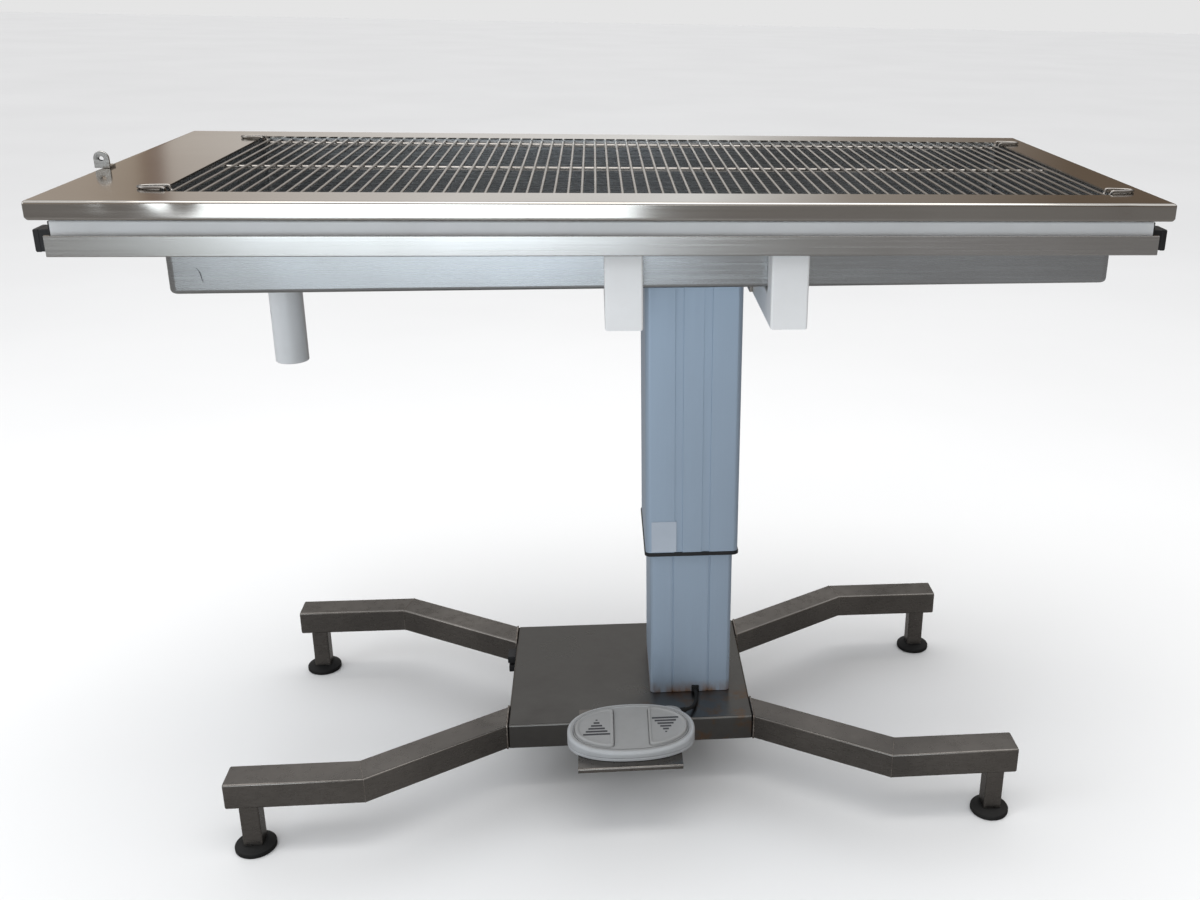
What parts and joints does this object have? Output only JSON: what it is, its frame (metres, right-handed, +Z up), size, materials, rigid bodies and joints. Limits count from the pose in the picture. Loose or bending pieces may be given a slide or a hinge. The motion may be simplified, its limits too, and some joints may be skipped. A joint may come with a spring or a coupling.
{
  "type": "grooming table",
  "caption": "Stainless wet grooming table: drain tub with lift-out rod grate, accessory rails, electric telescopic column, dog-leg base with levelling feet and a foot switch.",
  "frame": {"origin": "on the floor, under the middle of the table's bounding box", "axes": "+X along the table away from the drain end, +Y from the foot-switch side to the back, +Z up"},
  "size_m": [1.4146, 0.665, 1.0028],
  "materials": {
    "sheet_steel": "satin stainless sheet",
    "leg_steel": "brushed stainless tube",
    "rail_steel": "brushed stainless flat bar",
    "grate_wire": "polished stainless round bar",
    "white_powder_coat": "satin powder coat",
    "anodised_alloy": "satin anodised",
    "white_pvc": "smooth pipe",
    "black_plastic": "moulded",
    "black_rubber": "moulded rubber",
    "grey_plastic": "fine texture",
    "pedal_plastic": "fine texture",
    "label_film": "printed film, left blank",
    "glide_plastic": "low-friction plastic",
    "motor_paint": "satin black",
    "bright_steel": "ground",
    "circuit_board": "solder resist"
  },
  "bodies": {
    "base": {"base_plate": "sheet_steel", "switch_bracket": "sheet_steel", "mains_inlet": "black_plastic", "control_box": "black_plastic", "column_grommet": "black_rubber", "switch_cable": "black_rubber", "cable_boot": "black_rubber", "inner_profile": "anodised_alloy", "glide_front": "glide_plastic", "glide_rear": "glide_plastic", "gear_motor": "motor_paint", "leg_front_left": "leg_steel", "leg_front_right": "leg_steel", "leg_rear_left": "leg_steel", "leg_rear_right": "leg_steel", "post_front_left": "leg_steel", "post_front_right": "leg_steel", "post_rear_left": "leg_steel", "post_rear_right": "leg_steel", "switch_base": "grey_plastic", "switch_cover": "grey_plastic", "switch_board": "circuit_board"},
    "table": {"top_pan": "sheet_steel", "drain_tub": "sheet_steel", "drain_strainer": "sheet_steel", "drain_socket": "white_pvc", "drain_pipe": "white_pvc", "restraint_lug": "rail_steel", "rail_front": "rail_steel", "rail_rear": "rail_steel", "carrier_tube_front": "white_powder_coat", "carrier_tube_rear": "white_powder_coat", "end_plug_front_left": "black_plastic", "end_plug_front_right": "black_plastic", "end_plug_rear_left": "black_plastic", "end_plug_rear_right": "black_plastic", "cross_member_left": "white_powder_coat", "cross_member_right": "white_powder_coat", "head_bracket": "sheet_steel", "head_bolt_front_left": "bright_steel", "head_bolt_front_right": "bright_steel", "head_bolt_rear_left": "bright_steel", "head_bolt_rear_right": "bright_steel", "outer_profile": "anodised_alloy", "profile_end_ring": "black_plastic", "label_plate": "label_film", "nut_tube": "bright_steel"},
    "lead_screw": {"lead_screw": "bright_steel"},
    "grate": {"grate": "grate_wire"},
    "pedal_up": {"pedal_up": "pedal_plastic"},
    "pedal_down": {"pedal_down": "pedal_plastic"},
    "foot_pad_front_left": {"foot_pad_front_left": "black_rubber"},
    "foot_stem_front_left": {"foot_stem_front_left": "bright_steel"},
    "foot_pad_front_right": {"foot_pad_front_right": "black_rubber"},
    "foot_stem_front_right": {"foot_stem_front_right": "bright_steel"},
    "foot_pad_rear_left": {"foot_pad_rear_left": "black_rubber"},
    "foot_stem_rear_left": {"foot_stem_rear_left": "bright_steel"},
    "foot_pad_rear_right": {"foot_pad_rear_right": "black_rubber"},
    "foot_stem_rear_right": {"foot_stem_rear_right": "bright_steel"}
  },
  "joints": [
    {"name": "column_lift", "type": "slide", "parent": "base", "child": "table", "axis": [0, 0, 1], "range_m": [-0.24, 0.1]},
    {"name": "screw_spin", "type": "hinge", "parent": "base", "child": "lead_screw", "pos_m": [0.1015, 0, 0.19], "axis": [0, 0, 1], "range_deg": [-4325, 1805]},
    {"name": "grate_lift", "type": "slide", "parent": "table", "child": "grate", "axis": [0, 0, 1], "range_m": [0, 0.15]},
    {"name": "pedal_up_press", "type": "slide", "parent": "base", "child": "pedal_up", "axis": [0, 0, -1], "range_m": [0, 0.0025], "stiffness_N_per_m": 2000, "springref_m": -0.001},
    {"name": "pedal_down_press", "type": "slide", "parent": "base", "child": "pedal_down", "axis": [0, 0, -1], "range_m": [0, 0.0025], "stiffness_N_per_m": 2000, "springref_m": -0.001},
    {"name": "foot_level_front_left", "type": "slide", "parent": "base", "child": "foot_pad_front_left", "axis": [0, 0, -1], "range_m": [0, 0.015]},
    {"name": "stem_turn_front_left", "type": "hinge", "parent": "foot_pad_front_left", "child": "foot_stem_front_left", "pos_m": [-0.5629, -0.25675, 0.01], "axis": [0, 0, 1], "range_deg": [0, 3605]},
    {"name": "foot_level_front_right", "type": "slide", "parent": "base", "child": "foot_pad_front_right", "axis": [0, 0, -1], "range_m": [0, 0.015]},
    {"name": "stem_turn_front_right", "type": "hinge", "parent": "foot_pad_front_right", "child": "foot_stem_front_right", "pos_m": [0.5689, -0.25675, 0.01], "axis": [0, 0, 1], "range_deg": [0, 3605]},
    {"name": "foot_level_rear_left", "type": "slide", "parent": "base", "child": "foot_pad_rear_left", "axis": [0, 0, -1], "range_m": [0, 0.015]},
    {"name": "stem_turn_rear_left", "type": "hinge", "parent": "foot_pad_rear_left", "child": "foot_stem_rear_left", "pos_m": [-0.5629, 0.25675, 0.01], "axis": [0, 0, 1], "range_deg": [0, 3605]},
    {"name": "foot_level_rear_right", "type": "slide", "parent": "base", "child": "foot_pad_rear_right", "axis": [0, 0, -1], "range_m": [0, 0.015]},
    {"name": "stem_turn_rear_right", "type": "hinge", "parent": "foot_pad_rear_right", "child": "foot_stem_rear_right", "pos_m": [0.5689, 0.25675, 0.01], "axis": [0, 0, 1], "range_deg": [0, 3605]}
  ],
  "couplings": [
    {"joint": "screw_spin", "follows": "column_lift", "rad_per_m": 314.16},
    {"joint": "stem_turn_front_left", "follows": "foot_level_front_left", "rad_per_m": 4188.8},
    {"joint": "stem_turn_front_right", "follows": "foot_level_front_right", "rad_per_m": 4188.8},
    {"joint": "stem_turn_rear_left", "follows": "foot_level_rear_left", "rad_per_m": 4188.8},
    {"joint": "stem_turn_rear_right", "follows": "foot_level_rear_right", "rad_per_m": 4188.8}
  ]
}
